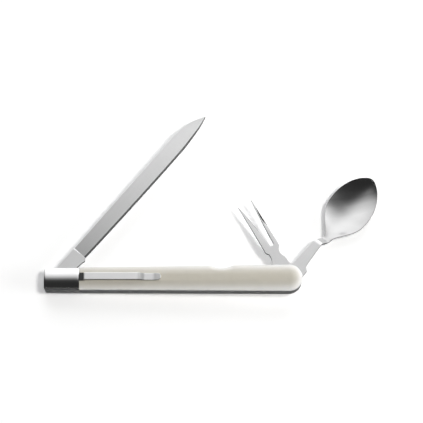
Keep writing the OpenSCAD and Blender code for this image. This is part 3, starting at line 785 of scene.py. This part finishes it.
def make_spoon():
    """The spoon in one run of sheet: tang, stem, stepped neck and bowl."""
    top_z = node_box("spoon")[1].z
    low_z = top_z - STEM_THICKNESS
    upper = [(-9, top_z)] + curve((23.1, top_z), (23.7, top_z), (24.1, top_z - 0.1), (24.4, top_z - 0.25))
    upper += curve((24.4, top_z - 0.25), (26.4, 3.4), (27.4, 0.1), (BOWL_U, RIM_Z))
    lower = [(-9, low_z)] + curve((22.3, low_z), (22.7, low_z), (23, low_z - 0.05), (23.2, low_z - 0.1))
    lower += curve((23.2, low_z - 0.1), (24.6, 2.2), (26.2, -0.9), (28.2, RIM_Z - SHEET))
    across = [-1, -0.985, -0.96, -0.92, -0.84, -0.7, -0.54, -0.36, -0.18]
    across += [0] + [-c for c in reversed(across)]
    stations = [-TOOL_TANG_R * math.cos(math.radians(a)) for a in range(3, 85, 9)]
    stations += [0, 2.5, 5.2, 5.5, 5.9, 6.3, 6.8, 7.7, 8.1, 8.5, 8.9, 9.4, 10, 11, 12.5, 14, 17, 20]
    stations += [21.5 + 0.3 * k for k in range(25)]
    rows = []
    for u in stations:
        bend = math.sqrt(max(0, TOOL_TANG_R ** 2 - u * u))
        low = -bend if u < 0 else along(STEM_LOW, u)
        high = bend if u < 0 else along(STEM_HIGH, u)
        middle, half = (low + high) / 2, (high - low) / 2
        rows.append([])
        for c in across:
            soft = rounding(0.25, (1 - abs(c)) * half)
            rows[-1].append((u, middle + half * c, along(upper, u) - soft, along(lower, u) + soft))
    steps = [k / 34 for k in range(33)] + [1 - 0.06 * (1 - k / 7) ** 2 for k in range(1, 7)] + [0.9995]
    for s in steps:
        half = bowl_half(s)
        rows.append([])
        for c in across:
            soft = rounding(0.25, (1 - abs(c)) * half)
            top = RIM_Z - bowl_drop(s, c)
            rows[-1].append((BOWL_U + BOWL_LENGTH * s, BOWL_P + half * c, top - soft, top - SHEET + soft))
    spoon = make_solid("stepped_spoon", [turned(rows, TOOL_HINGE, SPOON_OPEN, True)], 40)
    turn = math.radians(SPOON_TURN)
    along_stem = Vector((math.cos(turn), math.sin(turn), 0))
    bowl_middle = TOOL_HINGE + (BOWL_U + BOWL_LENGTH / 2) * along_stem
    bowl_middle.z = RIM_Z

    def finish_of(centre, normal):
        u = (centre - TOOL_HINGE).dot(along_stem)
        if u > RIM_FROM:
            outward = normal.dot(centre - bowl_middle) > 0
            # Painted shade on the rim's outward faces, except those facing left
            return "rim" if outward and -0.5 < normal.z < 0.9 and normal.x > -0.3 else "spoon"
        if u > RISER_FROM:
            # Painted shade on the step down's upper faces
            return "painted_shade_riser" if normal.z > 0.2 else "side"
        # Painted highlight on the stem's end, just before it steps down
        if u > STEP_FROM and normal.z > 0.6:
            return "painted_highlight"
        return "stem" if abs(normal.z) > 0.6 else "side"

    paint(spoon, ["stem", "painted_highlight", "painted_shade_riser", "spoon", "rim", "side"], finish_of)
    cut(spoon, prism(circle(TOOL_HINGE, BORE_R), top_z - 4, top_z + 2))
    dress(spoon, "spoon", "spoon")


# ---------- CAD nodes that stay ----------

KEPT = {
    "liner": ["front_liner", "back_liner", "knife_fork_divider", "fork_spoon_divider"],
    "spring": ["knife_spring", "fork_spring", "spoon_spring", "fork_layer_spacer", "spoon_layer_spacer",
               "knife_layer_bush"],
    "pin": ["knife_hinge_pin", "fork_spoon_hinge_pin", "spring_rivets", "scale_studs", "bolster_studs",
            "clip_rivet"],
    "clip_root": ["clip_root"],
}


def finish_kept_nodes():
    """Gives the CAD nodes that show their finishes, and rounds their edges a little."""
    for finish, names in KEPT.items():
        for name in names:
            node = frame["nodes"][name]
            node.data.materials.clear()
            node.data.materials.append(MATERIALS[finish])
            weld = node.modifiers.new("weld", "WELD")
            weld.merge_threshold = 0.002 * MM
            edge = node.modifiers.new("rounded_edges", "BEVEL")
            edge.width = (0.12 if finish == "clip_root" else 0.05) * MM
            edge.segments = 2
            edge.limit_method = "ANGLE"
            edge.angle_limit = math.radians(40)
            edge.harden_normals = True


# ---------- studio ----------

def make_floor():
    """A pale floor, tilted so that the bolster's end and the bowl's underside both rest on it."""
    tilt = math.radians(2.3)
    low_x, low_z = 94.5, -6.4
    size, cells = 1600, 24
    grid = np.linspace(-size, size, cells + 1)
    points = [(x, y, low_z - (x - low_x) * math.tan(tilt)) for x in grid for y in grid]
    side = cells + 1
    faces = [(i * side + j, (i + 1) * side + j, (i + 1) * side + j + 1, i * side + j + 1)
             for i in range(cells) for j in range(cells)]
    floor = make_mesh("floor", points, faces)
    paper = Material(
        "floor_paper", (0.9, 0.9, 0.9), 0.0, 0.9, Emission_Color=(1, 1, 1, 1), Emission_Strength=0.25)
    paper.bump(paper.noise(paper.place((900, 900, 900)), 2.0), 0.03, 0.00003)
    floor.data.materials.append(paper.made)
    floor.visible_glossy = False


def make_world():
    """A studio that is white behind the object and dark in front of it, for the metal to mirror."""
    world = bpy.data.worlds.new("studio")
    bpy.context.scene.world = world
    world.use_nodes = True
    nodes, links = world.node_tree.nodes, world.node_tree.links
    coords = nodes.new("ShaderNodeTexCoord")
    facing = nodes.new("ShaderNodeVectorMath")
    span = nodes.new("ShaderNodeMapRange")
    ramp = nodes.new("ShaderNodeValToRGB")
    towards_window = math.radians(18)
    facing.operation = "DOT_PRODUCT"
    facing.inputs[1].default_value = (math.sin(towards_window), math.cos(towards_window), 0)
    stops = [(-0.47, 0.03), (-0.25, 0.04), (-0.12, 0.065), (-0.02, 0.13), (0.097, 0.28), (0.21, 0.5)]
    stops += [(0.33, 0.72), (0.54, 1.12), (0.688, 1.35), (0.912, 1.5)]
    darkest, lightest, brightest = stops[0][0], stops[-1][0], stops[-1][1]
    span.inputs["From Min"].default_value = darkest
    span.inputs["From Max"].default_value = lightest
    marks = ramp.color_ramp.elements
    for _ in stops[2:]:
        marks.new(0.5)
    for mark, (direction, light) in zip(marks, stops):
        mark.position = (direction - darkest) / (lightest - darkest)
        mark.color = (light / brightest,) * 3 + (1,)
    sky = nodes["Background"]
    sky.inputs["Strength"].default_value = brightest
    world.cycles_visibility.diffuse = False
    links.new(coords.outputs["Generated"], facing.inputs[0])
    links.new(facing.outputs["Value"], span.inputs["Value"])
    links.new(span.outputs["Result"], ramp.inputs["Fac"])
    links.new(ramp.outputs["Color"], sky.inputs["Color"])


def make_light(name, towards, distance, size, power, colour):
    """A square soft light that shines on the object from a direction, too dim for the metal to mirror."""
    data = bpy.data.lights.new(name, "AREA")
    data.size = size
    data.energy = power
    data.color = colour
    light = bpy.data.objects.new(name, data)
    bpy.context.scene.collection.objects.link(light)
    away = Vector(towards).normalized()
    light.location = Vector((cad_low + cad_high) / 2) + away * distance
    light.rotation_euler = away.to_track_quat("Z", "Y").to_euler()
    light.visible_glossy = False


def make_camera():
    """The camera, high in front of the object."""
    data = bpy.data.cameras.new("camera")
    data.sensor_width = 36
    data.lens = 127.9
    camera = bpy.data.objects.new("camera", data)
    bpy.context.scene.collection.objects.link(camera)
    elevation = math.radians(74)
    distance = 0.8
    target = Vector((0.01994, 0.03765, 0.005))
    camera.location = target + distance * Vector((0, -math.cos(elevation), math.sin(elevation)))
    camera.rotation_euler = (math.pi / 2 - elevation, 0, 0)
    bpy.context.scene.camera = camera


make_scales()
make_bolsters()
make_clip()
make_knife()
make_fork()
make_spoon()
finish_kept_nodes()
make_floor()
make_world()
make_light("key", (0.34, -0.064, 0.938), 1.2, 0.2, 7.6, (1.0, 0.99, 0.97))
make_light("back_fill", (0, 0.8, 0.6), 1.6, 1.5, 14, (0.97, 0.98, 1.0))
make_light("front_fill", (0, -0.9, 0.45), 1.5, 1.0, 2.5, (0.97, 0.98, 1.0))
make_light("end_fill", (0.93, -0.1, 0.35), 1.5, 0.8, 10, (0.98, 0.99, 1.0))
make_camera()
bpy.context.scene.view_settings.view_transform = "Standard"
